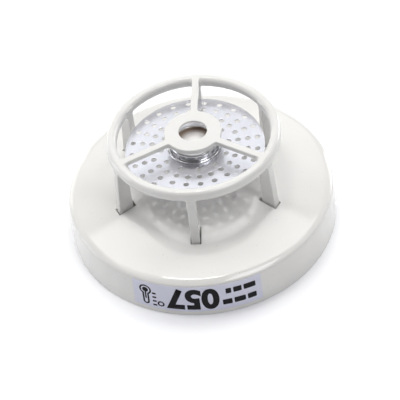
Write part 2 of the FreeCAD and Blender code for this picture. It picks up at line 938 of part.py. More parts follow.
faults = [obj.Name for obj in doc.Objects if {"Invalid", "Error"} & set(obj.State)]
faults += [node.Label for node in nodes if node.Shape.isNull() or not node.Shape.isValid()]
if faults:
    raise RuntimeError("failed: " + ", ".join(faults))

os.makedirs("parts", exist_ok=True)
for node in nodes:
    node.Shape.exportStep(os.path.join("parts", f"{node.Label}.step"))
    solids = len(node.Shape.Solids)
    print(f"{node.Label}: {solids} solid(s), {node.Shape.Volume:.1f} mm3")
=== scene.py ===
import json
import math

import bmesh
import bpy
import numpy as np
from mathutils import Matrix, Vector


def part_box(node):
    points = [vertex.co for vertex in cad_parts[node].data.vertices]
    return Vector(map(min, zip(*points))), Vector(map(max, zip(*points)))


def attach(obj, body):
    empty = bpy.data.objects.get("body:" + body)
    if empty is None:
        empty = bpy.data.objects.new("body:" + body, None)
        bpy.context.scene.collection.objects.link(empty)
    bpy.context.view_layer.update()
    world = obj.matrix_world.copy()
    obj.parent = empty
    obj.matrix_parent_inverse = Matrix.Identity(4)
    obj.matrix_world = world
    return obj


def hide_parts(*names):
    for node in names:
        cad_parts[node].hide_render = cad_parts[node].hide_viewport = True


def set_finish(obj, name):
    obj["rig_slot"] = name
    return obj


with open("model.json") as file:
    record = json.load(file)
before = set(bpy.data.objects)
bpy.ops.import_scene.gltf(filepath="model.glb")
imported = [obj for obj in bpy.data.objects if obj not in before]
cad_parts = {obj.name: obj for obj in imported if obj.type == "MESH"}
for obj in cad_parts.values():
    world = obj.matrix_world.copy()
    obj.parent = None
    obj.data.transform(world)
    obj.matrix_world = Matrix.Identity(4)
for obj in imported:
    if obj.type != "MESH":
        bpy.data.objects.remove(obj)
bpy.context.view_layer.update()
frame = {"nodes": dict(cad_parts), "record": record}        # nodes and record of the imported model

# A plug-in spot heat detector head, lying on its rear rim with the sensing face up.
# Shapes are worked out in millimetres and stored in metres; +Z points out of the sensing face
# and -Y points to the front guard leg and the rating label.

MM = 0.001


def box_of(node):
    """A node's lowest and highest corner in millimetres."""
    low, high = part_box(node)
    return [round(value / MM, 2) for value in low], [round(value / MM, 2) for value in high]


def heights(node):
    """A node's lowest and highest point in millimetres."""
    low, high = box_of(node)
    return low[2], high[2]


# ------------------------ sizes

COVER_HIGH = box_of("cover")[1]
BASE_RADIUS = COVER_HIGH[0]
NECK_TOP = COVER_HIGH[2]
CORNER_RADIUS = 48.76
CORNER_HEIGHT = 15.21
SKIRT_TAPER = (BASE_RADIUS - CORNER_RADIUS) / CORNER_HEIGHT
CONE_SLOPE = 0.215
SHOULDER_DROP = 0.75
SHOULDER_RUN = 1.56
SHOULDER_ROUND = 1.35
BROW_ROUND = 5.9
ROOF_WALL = 2.05
SKIRT_BORE = 46.9
RIM_BORE = 47.6
RIM_BORE_DEPTH = 1.2
NECK_RADIUS = 11.0
NECK_BORE = 9.0
NECK_ROUND = 4.0
SEAL_HEIGHT = 30.1
SEAL_ROOM = 0.7
SEAL_GROOVE = 10.1
SLOT_INNER = 26.5
SLOT_OUTER = 33.25
SLOT_HALF = 1.835
SLOT_COUNT = 6
SLOT_EDGE_ROUND = 0.14
SLOT_EDGE_ANGLE = math.radians(42)
PLAIN_STATIONS = (16.0, 19.5, 23.0, 25.6, 34.2, 36.5, 39.5, 42.5, 45.0)
LONG_RUN = 20.0
LEG_AZIMUTH = math.radians(30)
BOSS_COUNT = 3
BOSS_CIRCLE = 38.0
BOSS_RADIUS = 3.4
BOSS_FOOT = 8.15
BOSS_TOP = 16.45
PILOT_RADIUS = 1.5
PILOT_TOP = 15.4

LEG_END, GUARD_TOP = heights("guard_cage")
RING_INNER = 27.3
RING_OUTER = 31.1
RING_BOTTOM = 37.35
RING_CREST = 1.85
RING_UNDERSIDE = 1.3
EYE_RADIUS = 10.2
EYE_BORE = 5.0
EYE_BOTTOM = 39.3
EYE_POCKET = 8.1
EYE_SKIN = 0.85
EYE_LOWER_ROUND = 0.3
SPOKE_HALF = 1.275
SPOKE_COUNT = 3
SPOKE_OVERLAP = 2.0
CAGE_EDGE_ROUND = 0.4
CAGE_BLEND = 1.3
LEG_BLEND = 0.9
CAGE_GRID = 0.33
LEG_HALF = 1.535
LEG_FOOT_OUTER = 32.95
LEG_FOOT_HEIGHT = 18.4
BARB_REACH = 34.3
BARB_HEIGHT = 16.1
SPOKE_AZIMUTH = math.radians(90)

DISC_BOTTOM, DISC_TOP = heights("collector_disc")
DISC_RADIUS = 25.0
DISC_BORE = 8.85
HOLE_RADIUS = 0.965
FIRST_ROW = 12.1
ROW_PITCH = 3.5
HOLE_AZIMUTH = math.radians(8)
HOLES_PER_ROW = (12, 24, 24, 24)
EDGE_ROLL = 0.1

CLAMP_BOTTOM, CLAMP_TOP = heights("clamp_ring")
CLAMP_BORE = 8.82
CLAMP_RADIUS = 9.8
CAP_BOTTOM, CAP_TOP = heights("thermostat_cap")
CAP_RADIUS = 8.8
CAP_WALL = 0.35
CAP_OPENING = 6.6
CAP_LIP = 7.9
CAP_ROUND = 0.7
KEEPER_BOTTOM, KEEPER_TOP = heights("disc_keeper_ring")
KEEPER_INNER = 7.1
KEEPER_OUTER = 8.35
SNAP_TOP = heights("bimetal_disc")[1]
SNAP_RADIUS = 8.2
SNAP_THICKNESS = 0.3
SNAP_RISE = 0.5
# Reach on the snap disc over which painted shade turns its tone from near white to brown
RIM_SHADE_START = 3.0
RIM_SHADE_END = 6.6

LABEL_BOTTOM, LABEL_TOP = heights("rating_label")
LABEL_AZIMUTH = math.radians(-90.2)
LABEL_ANGLE = math.radians(53.6)
LABEL_GAP = 0.02
LABEL_THICKNESS = 0.11
INK_THICKNESS = 0.015
INK_STRIP = 0.5
INK_MERGE = 0.004
NUMBER = "057"
NUMBER_TEXT_SIZE = 13.6
NUMBER_SIZE = (19.0, 10.3)
NUMBER_MIDDLE = 1.6
NUMBER_BOLD = 0.60
DEGREE_MIDDLE = (13.1, 3.5)
DEGREE_RADII = (1.3, 0.72)
THERMOMETER_X = 18.6
# Foot, height, bulb radius and half the stem's width of the sign, its window and its column.
THERMOMETERS = ((-4.6, 9.4, 2.3, 1.25), (-3.95, 8.1, 1.65, 0.6), (-3.45, 5.6, 1.15, 0.3))
TICK_COUNT = 4
TICK_START = (14.6, -1.6)
TICK_SIZE = (1.5, 0.8)
TICK_ROUND = 0.25
TICK_PITCH = 1.9
BAR_ROWS = ((1.35, (3.3, 4.1, 3.4)), (-3.85, (4.4, 3.0, 2.0)))
BAR_START = -21.2
BAR_HEIGHT = 2.5
BAR_ROUND = 0.35
BAR_SPACE = 0.75

TURN_STEPS = 192
BOSS_STEPS = 48
HUB_RADIUS = 0.02


def cone_height(radius):
    """Height of the cover's outer cone at a radius."""
    return CORNER_HEIGHT + (CORNER_RADIUS - radius) * CONE_SLOPE


def skirt_radius(height):
    """Outer radius of the cover's tapered skirt at a height."""
    return BASE_RADIUS - SKIRT_TAPER * height


# ------------------------ mesh tools


def polar(radius, angle):
    """X and Y of a place at a radius from the Z axis."""
    return radius * math.cos(angle), radius * math.sin(angle)


def pairs(loop):
    """Each item of a closed loop with the one after it."""
    return zip(loop, loop[1:] + loop[:1])


def linked(name, data):
    """A new object in the scene."""
    item = bpy.data.objects.new(name, data)
    bpy.context.scene.collection.objects.link(item)
    return item


def add_piece(name, vertices, faces, slot, node=None, normals=None, body="head"):
    """A mesh object from millimetre vertices that rides a body and stands for a CAD node."""
    mesh = bpy.data.meshes.new(name)
    mesh.from_pydata((np.asarray(vertices) * MM).tolist(), [], faces)
    work = bmesh.new()
    work.from_mesh(mesh)
    bmesh.ops.recalc_face_normals(work, faces=work.faces)
    work.to_mesh(mesh)
    work.free()
    mesh.shade_smooth()
    if normals is not None:
        mesh.normals_split_custom_set_from_vertices(np.asarray(normals).tolist())
    piece = linked(name, mesh)
    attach(piece, body)
    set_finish(piece, slot)
    if node:
        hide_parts(node)
    return piece


def rounded_outline(corners, arc_step=12.0):
    """A closed outline through (radius, height, rounding) corners, as points with outward normals.

    The corners run anticlockwise, with the radius to the right and the height up.
    """
    count = len(corners)
    points = []
    normals = []
    for index, (radius, height, rounding) in enumerate(corners):
        here = np.array([radius, height])
        before = np.array(corners[index - 1][:2]) - here
        after = np.array(corners[(index + 1) % count][:2]) - here
        before /= np.linalg.norm(before)
        after /= np.linalg.norm(after)
        turn = math.pi - math.acos(np.clip(before @ after, -1, 1))
        left = before[0] * after[1] - before[1] * after[0] < 0
        side = 1.0 if left else -1.0
        first = np.array([-before[1], before[0]])
        reach = rounding * math.tan(turn / 2)
        centre = here + before * reach - first * rounding * side
        steps = max(2, math.ceil(math.degrees(turn) / arc_step))
        for step in range(steps + 1):
            angle = side * turn * step / steps
            spin = np.array([
                [math.cos(angle), -math.sin(angle)],
                [math.sin(angle), math.cos(angle)],
            ])
            normal = spin @ first
            points.append(centre + normal * rounding * side)
            normals.append(normal)
    return np.array(points), np.array(normals)


def grid_quad(row, column, rows, columns):
    """A quad of a grid of vertices that closes on itself both ways."""
    lower, upper = row * columns, (row + 1) % rows * columns
    beside = (column + 1) % columns
    return lower + column, lower + beside, upper + beside, upper + column


def revolve(points, normals, steps=TURN_STEPS):
    """Vertices, faces and normals of a closed outline turned about the Z axis."""
    angles = np.arange(steps) * (2 * math.pi / steps)

    def turned(profile):
        return np.stack([
            np.outer(profile[:, 0], np.cos(angles)),
            np.outer(profile[:, 0], np.sin(angles)),
            np.repeat(profile[:, 1:2], steps, axis=1),
        ], axis=-1).reshape(-1, 3)

    rows = len(points)
    faces = [grid_quad(row, column, rows, steps) for row in range(rows) for column in range(steps)]
    return turned(points), faces, turned(normals)


def turned_piece(name, corners, slot, node):
    """A turned piece on the head, from an outline's corners."""
    vertices, faces, normals = revolve(*rounded_outline(corners))
    return add_piece(name, vertices, faces, slot, node, normals)


# ------------------------ cover


def cover_rows():
    """The cover's outline from rim to rim, as (radius, height, on a slotted cone) rows."""
    shoulder_height = CORNER_HEIGHT - SHOULDER_DROP
    corners = [
        (RIM_BORE, 0.0, 0.25),
        (BASE_RADIUS, 0.0, 0.35),
        (skirt_radius(shoulder_height), shoulder_height, SHOULDER_ROUND),
        (CORNER_RADIUS - SHOULDER_RUN, cone_height(CORNER_RADIUS - SHOULDER_RUN), BROW_ROUND),
        (NECK_RADIUS, cone_height(NECK_RADIUS), NECK_ROUND),
        (NECK_RADIUS, NECK_TOP, 0.35),
        (NECK_BORE, NECK_TOP, 0.2),
        (NECK_BORE, SEAL_HEIGHT + SEAL_ROOM, 0.1),
        (SEAL_GROOVE, SEAL_HEIGHT + SEAL_ROOM, 0.1),
        (SEAL_GROOVE, SEAL_HEIGHT - SEAL_ROOM, 0.1),
        (NECK_BORE, SEAL_HEIGHT - SEAL_ROOM, 0.1),
        (NECK_BORE, cone_height(NECK_BORE) - ROOF_WALL, 0.8),
        (SKIRT_BORE, cone_height(SKIRT_BORE) - ROOF_WALL, 0.8),
        (SKIRT_BORE, RIM_BORE_DEPTH, 0.1),
        (RIM_BORE, RIM_BORE_DEPTH, 0.1),
    ]
    points = rounded_outline(corners, arc_step=5.0)[0]
    slot_stations = np.linspace(SLOT_INNER, SLOT_OUTER, 5)
    stations = np.sort(np.concatenate([slot_stations, PLAIN_STATIONS]))
    rows = []
    for (radius, height), next_radius in zip(points, np.roll(points[:, 0], -1)):
        rows.append((radius, height, False))
        if abs(next_radius - radius) < LONG_RUN:
            continue
        drop = cone_height(radius) - height
        order = stations[::-1] if next_radius < radius else stations
        for station in order:
            rows.append((station, cone_height(station) - drop, station in slot_stations))
    return rows


def make_cover():
    """The moulded cover: a grid round the outline, with the six leg slots let through the cone."""
    rows = cover_rows()
    band = 4
    plain = 38
    sector = 2 * math.pi / SLOT_COUNT
    columns = band + plain
    vertices = []
    for radius, height, slotted in rows:
        edge = math.asin(SLOT_HALF / min(max(radius, SLOT_INNER), SLOT_OUTER))
        if slotted:
            edge = math.atan2(SLOT_HALF, radius)
        for number in range(SLOT_COUNT):
            start = LEG_AZIMUTH + number * sector
            for column in range(columns):
                if column <= band:
                    share = 2 * column / band - 1
                    angle = share * edge
                    reach = radius
                    if slotted:
                        angle = math.atan2(share * SLOT_HALF, radius)
                        reach = radius / math.cos(angle)
                else:
                    share = (column - band) / plain
                    angle = edge + share * (sector - 2 * edge)
                    reach = radius / math.cos(edge) if slotted else radius
                lift = height - (reach - radius) * CONE_SLOPE
                turn = start + angle
                vertices.append((*polar(reach, turn), lift))
    width = columns * SLOT_COUNT
    faces = []
    slot_rows = [index for index, row in enumerate(rows) if row[2]]
    outer_rows = slot_rows[: len(slot_rows) // 2]
    inner_rows = slot_rows[len(slot_rows) // 2:]
    for row in range(len(rows)):
        open_row = any(row in group and row + 1 in group for group in (outer_rows, inner_rows))
        for column in range(width):
            if not (open_row and column % columns < band):
                faces.append(grid_quad(row, column, len(rows), width))
    inner_rows = inner_rows[::-1]
    for number in range(SLOT_COUNT):
        first = number * columns
        last = first + band
        loop = [(row, first) for row in range(len(outer_rows))]
        loop += [(len(outer_rows) - 1, column) for column in range(first + 1, last + 1)]
        loop += [(row, last) for row in range(len(outer_rows) - 2, -1, -1)]
        loop += [(0, column) for column in range(last - 1, first, -1)]
        for (row, column), (next_row, next_column) in pairs(loop):
            faces.append((
                outer_rows[row] * width + column,
                inner_rows[row] * width + column,
                inner_rows[next_row] * width + next_column,
                outer_rows[next_row] * width + next_column,
            ))
    cover = add_piece("cover_shell", vertices, faces, "cover_plastic", "cover")
    edge_round = cover.modifiers.new("slot_edges", "BEVEL")
    edge_round.limit_method = "ANGLE"
    edge_round.angle_limit = SLOT_EDGE_ANGLE
    edge_round.width = SLOT_EDGE_ROUND * MM
    edge_round.segments = 2
    shading = cover.modifiers.new("even_shading", "WEIGHTED_NORMAL")
    shading.keep_sharp = True
    return cover


def make_screw_bosses():
    """Three screw bosses under the roof; each is a closed tube with a blind pilot hole."""
    corners = [
        (PILOT_RADIUS, BOSS_FOOT, 0.2),
        (BOSS_RADIUS, BOSS_FOOT, 0.3),
        (BOSS_RADIUS, BOSS_TOP, 0.1),
        (HUB_RADIUS, BOSS_TOP, 0.005),
        (HUB_RADIUS, PILOT_TOP, 0.005),
        (PILOT_RADIUS, PILOT_TOP, 0.1),
    ]
    vertices, faces, normals = revolve(*rounded_outline(corners, arc_step=30.0), BOSS_STEPS)
    bosses = []
    for number in range(BOSS_COUNT):
        place = np.array([*polar(BOSS_CIRCLE, number * 2 * math.pi / BOSS_COUNT), 0])
        name = f"screw_boss_{number + 1}"
        bosses.append(add_piece(name, vertices + place, faces, "cover_plastic", normals=normals))
    return bosses


# ------------------------ guard cage


def rounded_corner(x, y, rounding):
    """Signed distance to a corner where two faces, x and y away, meet with a rounding."""
    x = x + rounding
    y = y + rounding
    outside = np.hypot(np.maximum(x, 0), np.maximum(y, 0))
    return np.minimum(np.maximum(x, y), 0) + outside - rounding


def rounded_box(across, up, half_width, half_height, top_round, bottom_round):
    """Signed distance to a box with one rounding above and another below."""
    rounding = np.where(up > 0, top_round, bottom_round)
    return rounded_corner(np.abs(across) - half_width, np.abs(up) - half_height, rounding)


def polygon_distance(x, y, corners):
    """Signed distance to a polygon."""
    nearest = np.full(x.shape, 1e9, dtype=x.dtype)
    inside = np.zeros(x.shape, dtype=bool)
    for (ax, ay), (bx, by) in pairs(corners):
        ex, ey = bx - ax, by - ay
        px, py = x - ax, y - ay
        share = np.clip((px * ex + py * ey) / (ex * ex + ey * ey), 0, 1)
        nearest = np.minimum(nearest, (px - ex * share) ** 2 + (py - ey * share) ** 2)
        crosses = (ay > y) != (by > y)
        if ey != 0:
            inside ^= crosses & (x < ax + ex * (y - ay) / ey)
    return np.where(inside, -1, 1) * np.sqrt(nearest)


def joined(first, second, blend):
    """A union with a fillet of about the blend's size."""
    overlap = np.maximum(blend - np.abs(first - second), 0) / blend
    return np.minimum(first, second) - overlap * overlap * blend / 4


def plated(outline, across, half, rounding):
    """A plate of an outline's shape, with its long edges rounded."""
    return rounded_corner(outline, np.abs(across) - half, rounding)


def folded(x, y, azimuth, count):
    """Plan coordinates turned so that each of count equal sectors lies along +X."""
    sector = 2 * math.pi / count
    angle = np.mod(np.arctan2(y, x) - azimuth + sector / 2, sector) - sector / 2
    reach = np.hypot(x, y)
    return reach * np.cos(angle), reach * np.sin(angle)


LEG_OUTLINE = [
    (RING_INNER, LEG_END),
    (LEG_FOOT_OUTER - 1.0, LEG_END),
    (BARB_REACH, BARB_HEIGHT - 0.7),
    (BARB_REACH, BARB_HEIGHT),
    (LEG_FOOT_OUTER, BARB_HEIGHT),
    (LEG_FOOT_OUTER, LEG_FOOT_HEIGHT),
    (RING_OUTER - 0.1, RING_BOTTOM + 0.7),
    (RING_OUTER - 1.4, GUARD_TOP - 1.2),
    (RING_INNER, GUARD_TOP - 1.2),
]


def cage_distance(x, y, z):
    """Signed distance to the guard cage."""
    reach = np.hypot(x, y)
    ring = rounded_box(
        reach - (RING_INNER + RING_OUTER) / 2,
        z - (RING_BOTTOM + GUARD_TOP) / 2,
        (RING_OUTER - RING_INNER) / 2,
        (GUARD_TOP - RING_BOTTOM) / 2,
        RING_CREST,
        RING_UNDERSIDE,
    )
    plate_middle = (EYE_BOTTOM + GUARD_TOP) / 2
    plate_half = (GUARD_TOP - EYE_BOTTOM) / 2
    eye = rounded_box(
        reach - (EYE_RADIUS + EYE_BORE) / 2,
        z - plate_middle,
        (EYE_RADIUS - EYE_BORE) / 2,
        plate_half,
        CAGE_EDGE_ROUND,
        EYE_LOWER_ROUND,
    )
    pocket = np.maximum(reach - EYE_POCKET, z - (GUARD_TOP - EYE_SKIN))
    eye = np.maximum(eye, -pocket)
    along, across = folded(x, y, SPOKE_AZIMUTH, SPOKE_COUNT)
    spoke = rounded_box(
        across, z - plate_middle, SPOKE_HALF, plate_half, CAGE_EDGE_ROUND, CAGE_EDGE_ROUND
    )
    ends = np.maximum(EYE_RADIUS - SPOKE_OVERLAP - along, along - RING_OUTER + SPOKE_OVERLAP)
    spoke = np.maximum(spoke, ends)
    leg_along, leg_across = folded(x, y, LEG_AZIMUTH, SLOT_COUNT)
    outline = polygon_distance(leg_along, z, LEG_OUTLINE)
    leg = plated(outline, leg_across, LEG_HALF, CAGE_EDGE_ROUND)
    cage = joined(joined(ring, leg, LEG_BLEND), joined(eye, spoke, CAGE_BLEND), CAGE_BLEND)
    return np.maximum(cage, z - GUARD_TOP)


def surface_net(distance, low, high, spacing):
    """Vertices and quads of a distance function's zero surface, sampled on an even grid."""
    axes = [np.arange(a, b + spacing, spacing, dtype=np.float32) for a, b in zip(low, high)]
    x, y, z = np.meshgrid(*axes, indexing="ij")
    values = distance(x, y, z)
    inside = values < 0
    shape = np.array(values.shape) - 1
    total = np.zeros((*shape, 3), dtype=np.float32)
    count = np.zeros(shape, dtype=np.float32)
    corner = [slice(0, -1), slice(1, None)]
    for axis in range(3):
        others = [a for a in range(3) if a != axis]
        for one in (0, 1):
            for two in (0, 1):
                start = [None] * 3
                start[others[0]], start[others[1]] = corner[one], corner[two]
                end = list(start)
                start[axis], end[axis] = corner[0], corner[1]
                start, end = tuple(start), tuple(end)
                crossing = inside[start] != inside[end]
                a, b = values[start], values[end]
                share = np.where(crossing, a / np.where(crossing, a - b, 1), 0)
                count += crossing
                total[..., axis] += share
                total[..., others[0]] += crossing * one
                total[..., others[1]] += crossing * two
    active = count > 0
    index = np.full(shape, -1, dtype=np.int64)
    index[active] = np.arange(active.sum())
    cells = np.argwhere(active)
    vertices = (cells + total[active] / count[active][:, None]) * spacing + np.array(low)
    quads = []
    for axis in range(3):
        others = [a for a in range(3) if a != axis]
        window = [slice(1, -1)] * 3
        window[axis] = slice(0, -1)
        ahead = list(window)
        ahead[axis] = slice(1, None)
        here, there = inside[tuple(window)], inside[tuple(ahead)]
        for flip in (False, True):
            found = np.argwhere((here & ~there) if not flip else (~here & there))
            found[:, others] += 1
            ring = []
            for one, two in ((0, 0), (1, 0), (1, 1), (0, 1)):
                cell = found.copy()
                cell[:, others] -= (1 - one, 1 - two)
                ring.append(index[tuple(cell.T)])
            quad = np.stack(ring, axis=1)
            if flip != (axis == 1):
                quad = quad[:, ::-1]
            quads.append(quad)
    return vertices, np.concatenate(quads)


def gradient(distance, points, step=0.01):
    """The distance function's gradient at points."""
    result = np.empty_like(points)
    for axis in range(3):
        offset = np.zeros(3)
        offset[axis] = step
        ahead, behind = (points + offset).T, (points - offset).T
        result[:, axis] = (distance(*ahead) - distance(*behind)) / (2 * step)
    return result


def unit(vectors):
    """Rows scaled to length one."""
    return vectors / np.maximum(np.linalg.norm(vectors, axis=1, keepdims=True), 1e-9)


def settled(distance, vertices, quads, rounds=6, least_slope=0.2):
    """Vertices evened out along the surface and put exactly on it."""
    edges = np.concatenate([quads[:, [side, (side + 1) % 4]] for side in range(4)])
    for _ in range(rounds):
        total = np.zeros_like(vertices)
        np.add.at(total, edges[:, 0], vertices[edges[:, 1]])
        degree = np.bincount(edges[:, 0], minlength=len(vertices))[:, None]
        pull = total / np.maximum(degree, 1) - vertices
        normals = unit(gradient(distance, vertices))
        pull -= normals * np.sum(pull * normals, axis=1, keepdims=True)
        vertices = vertices + pull / 2
        slope = gradient(distance, vertices)
        level = distance(*vertices.T)[:, None]
        steepness = np.maximum(np.sum(slope**2, axis=1)[:, None], least_slope)
        vertices = vertices - slope * level / steepness
    return vertices


def make_guard_cage():
    """The moulded cage: ring, eye, spokes and snap legs blended into one skin."""
    reach = BARB_REACH + 1.5
    low = (-reach, -reach, LEG_END - 1.0)
    high = (reach, reach, GUARD_TOP + 1.0)
    vertices, quads = surface_net(cage_distance, low, high, CAGE_GRID)
    vertices = settled(cage_distance, vertices.astype(np.float64), quads)
    normals = unit(gradient(cage_distance, vertices, step=0.03))
    faces = quads.tolist()
    return add_piece("guard_cage_skin", vertices, faces, "guard_plastic", "guard_cage", normals)


# ------------------------ heat collector


def make_collector_disc():
    """The perforated disc: each hole sits in a cell of quads, and its edges are slightly rolled."""
    per_side = 8
    per_turn = 288
    plan = []
    plan_index = {}

    def plan_point(x, y):
        """The number of a plan point; the same place always gives the same number."""
        key = (round(x, 3) + 0.0, round(y, 3) + 0.0)
        if key not in plan_index:
            plan_index[key] = len(plan)
            plan.append((x, y))
        return plan_index[key]

    holes = []
    for row, number in enumerate(HOLES_PER_ROW):
        row_radius = FIRST_ROW + row * ROW_PITCH
        inner, outer = row_radius - ROW_PITCH / 2, row_radius + ROW_PITCH / 2
        pitch = 2 * math.pi / number
        per_arc = per_turn // number
        arcs = [pitch * step / per_arc for step in range(per_arc)]
        sides = [ROW_PITCH * step / per_side for step in range(per_side)]
        for hole in range(number):
            middle = HOLE_AZIMUTH + hole * pitch
            start = middle - pitch / 2
            border = [(outer, start + arc) for arc in arcs]
            border += [(outer - side, start + pitch) for side in sides]
            border += [(inner, start + pitch - arc) for arc in arcs]
            border += [(inner + side, start) for side in sides]
            outline = [plan_point(*polar(r, a)) for r, a in border[::-1]]
            centre = np.array(polar(row_radius, middle))
            ways = unit(np.array([plan[point] for point in outline]) - centre)
            holes.append((centre, outline, ways))
    inner_edge = FIRST_ROW - ROW_PITCH / 2
    outer_edge = FIRST_ROW + (len(HOLES_PER_ROW) - 0.5) * ROW_PITCH
    first_turn = HOLE_AZIMUTH - math.pi / max(HOLES_PER_ROW)
    turns = [first_turn + 2 * math.pi * step / per_turn for step in range(per_turn)]
    rim_ways = np.array([polar(1.0, turn) for turn in turns])

    vertices = []
    normals = []
    faces = []

    def vertex(x, y, z, normal):
        vertices.append((x, y, z))
        normals.append(normal)
        return len(vertices) - 1

    def strip(first, second):
        """Quads between two closed loops of vertex numbers."""
        for (a, b), (d, c) in zip(pairs(first), pairs(second)):
            faces.append((a, b, c, d))

    def roll_edge(loop, centre, ways, radius, outward, height, side):
        """Rolls a flat face's loop over into a round wall; outward is -1 for a hole."""
        for angle in (0.0, math.pi / 4, math.pi / 2):
            reach = radius - outward * EDGE_ROLL * (1 - math.sin(angle))
            drop = EDGE_ROLL * (1 - math.cos(angle))
            ring = []
            for way in ways:
                x, y = centre + way * reach
                normal = (*(way * outward * math.sin(angle)), side * math.cos(angle))
                ring.append(vertex(x, y, height - side * drop, normal))
            strip(loop, ring)
            loop = ring
        return loop

    hole_walls = []
    rim_walls = []
    for height, side in ((DISC_TOP, 1), (DISC_BOTTOM, -1)):
        grid = [vertex(x, y, height, (0, 0, side)) for x, y in plan]
        for centre, outline, ways in holes:
            loop = [grid[point] for point in outline]
            hole_walls.append(roll_edge(loop, centre, ways, HOLE_RADIUS, -1, height, side))
        for edge, radius, outward in ((outer_edge, DISC_RADIUS, 1), (inner_edge, DISC_BORE, -1)):
            loop = [grid[plan_point(*polar(edge, turn))] for turn in turns]
            rim_walls.append(roll_edge(loop, 0, rim_ways, radius, outward, height, side))
    for walls in (hole_walls, rim_walls):
        half = len(walls) // 2
        for upper, lower in zip(walls[:half], walls[half:]):
            strip(upper, lower)
    return add_piece(
        "perforated_disc", vertices, faces, "collector_aluminium", "collector_disc", normals
    )


def make_clamp_ring():
    """The bright bead that clamps the disc at the foot of the cap."""
    return turned_piece("clamp_bead", [
        (CLAMP_BORE, CLAMP_BOTTOM, 0.05),
        (CLAMP_RADIUS, CLAMP_BOTTOM, 0.15),
        (CLAMP_RADIUS, CLAMP_TOP, 0.42),
        (CLAMP_BORE, CLAMP_TOP, 0.3),
    ], "clamp_metal", "clamp_ring")


# ------------------------ thermostat


def make_thermostat_cap():
    """The drawn cap, open at the top, with an even wall and an inward lip at each end."""
    inner = CAP_RADIUS - CAP_WALL
    return turned_piece("drawn_cap", [
        (CAP_RADIUS, CAP_BOTTOM, 0.3),
        (CAP_RADIUS, CAP_TOP, CAP_ROUND),
        (CAP_OPENING, CAP_TOP, 0.16),
        (CAP_OPENING, CAP_TOP - CAP_WALL, 0.12),
        (inner, CAP_TOP - CAP_WALL, CAP_ROUND - CAP_WALL),
        (inner, CAP_BOTTOM + CAP_WALL, 0.1),
        (CAP_LIP, CAP_BOTTOM + CAP_WALL, 0.1),
        (CAP_LIP, CAP_BOTTOM, 0.1),
    ], "cap_metal", "thermostat_cap")


def make_keeper_ring():
    """The spacer that keeps the snap disc down in the cap."""
    return turned_piece("keeper_spacer", [
        (KEEPER_INNER, KEEPER_BOTTOM, 0.12),
        (KEEPER_OUTER, KEEPER_BOTTOM, 0.12),
        (KEEPER_OUTER, KEEPER_TOP, 0.12),
        (KEEPER_INNER, KEEPER_TOP, 0.2),
    ], "keeper_metal", "disc_keeper_ring")


def make_snap_disc():
    """The dished bimetal disc: two spherical skins with a rolled edge."""
    sphere = (SNAP_RADIUS**2 + SNAP_RISE**2) / (2 * SNAP_RISE)
    centre = SNAP_TOP - SNAP_THICKNESS - sphere
    rings = 18
    edge_half = 0.08
    edge_rise = 0.13
    outline = []
    for skin in (sphere, sphere + SNAP_THICKNESS):
        reaches = np.linspace(HUB_RADIUS, SNAP_RADIUS - edge_half, rings)
        outline.append(np.stack([reaches, centre + np.sqrt(skin**2 - reaches**2)], axis=1))
    lower, upper = outline
    middle = (lower[-1] + upper[-1]) / 2
    edge = [
        middle + np.array([edge_half * math.cos(angle), edge_rise * math.sin(angle)])
        for angle in np.radians([-60, -30, 0, 30, 60])
    ]
    points = np.concatenate([lower, np.array(edge), upper[::-1]])
    along = np.roll(points, -1, axis=0) - np.roll(points, 1, axis=0)
    normals = unit(np.stack([along[:, 1], -along[:, 0]], axis=1))
    vertices, faces, normals = revolve(points, normals)
    return add_piece(
        "snap_disc_dome", vertices, faces, "snap_disc_metal", "bimetal_disc", normals, "snap_disc"
    )


# ------------------------ label


def on_skirt(along, height, proud):
    """A place on the skirt; along is measured round it towards -X from the label's middle."""
    radius = skirt_radius(height) + proud
    angle = LABEL_AZIMUTH - along / BASE_RADIUS
    return (*polar(radius, angle), height)


def make_label_film():
    """The label's film: a thin closed skin that follows the skirt."""
    half = LABEL_ANGLE / 2 * BASE_RADIUS
    columns = 96
    rows = 12
    outer = LABEL_GAP + LABEL_THICKNESS
    vertices = []
    for proud in (LABEL_GAP, outer):
        for row in range(rows + 1):
            height = LABEL_BOTTOM + (LABEL_TOP - LABEL_BOTTOM) * row / rows
            for column in range(columns + 1):
                vertices.append(on_skirt(half - 2 * half * column / columns, height, proud))
    width = columns + 1
    sheet = width * (rows + 1)
    faces = []
    for row in range(rows):
        for column in range(columns):
            a = row * width + column
            faces.append((a, a + width, a + width + 1, a + 1))
            faces.append((sheet + a, sheet + a + 1, sheet + a + width + 1, sheet + a + width))
    loop = list(range(columns))
    loop += [row * width + columns for row in range(rows)]
    loop += [rows * width + column for column in range(columns, 0, -1)]
    loop += [row * width for row in range(rows, 0, -1)]
    faces += [(a, b, sheet + b, sheet + a) for a, b in pairs(loop)]
    film = add_piece("label_film", vertices, faces, "label_paper", "rating_label")
    film.data.set_sharp_from_angle(angle=math.radians(40))
    return film


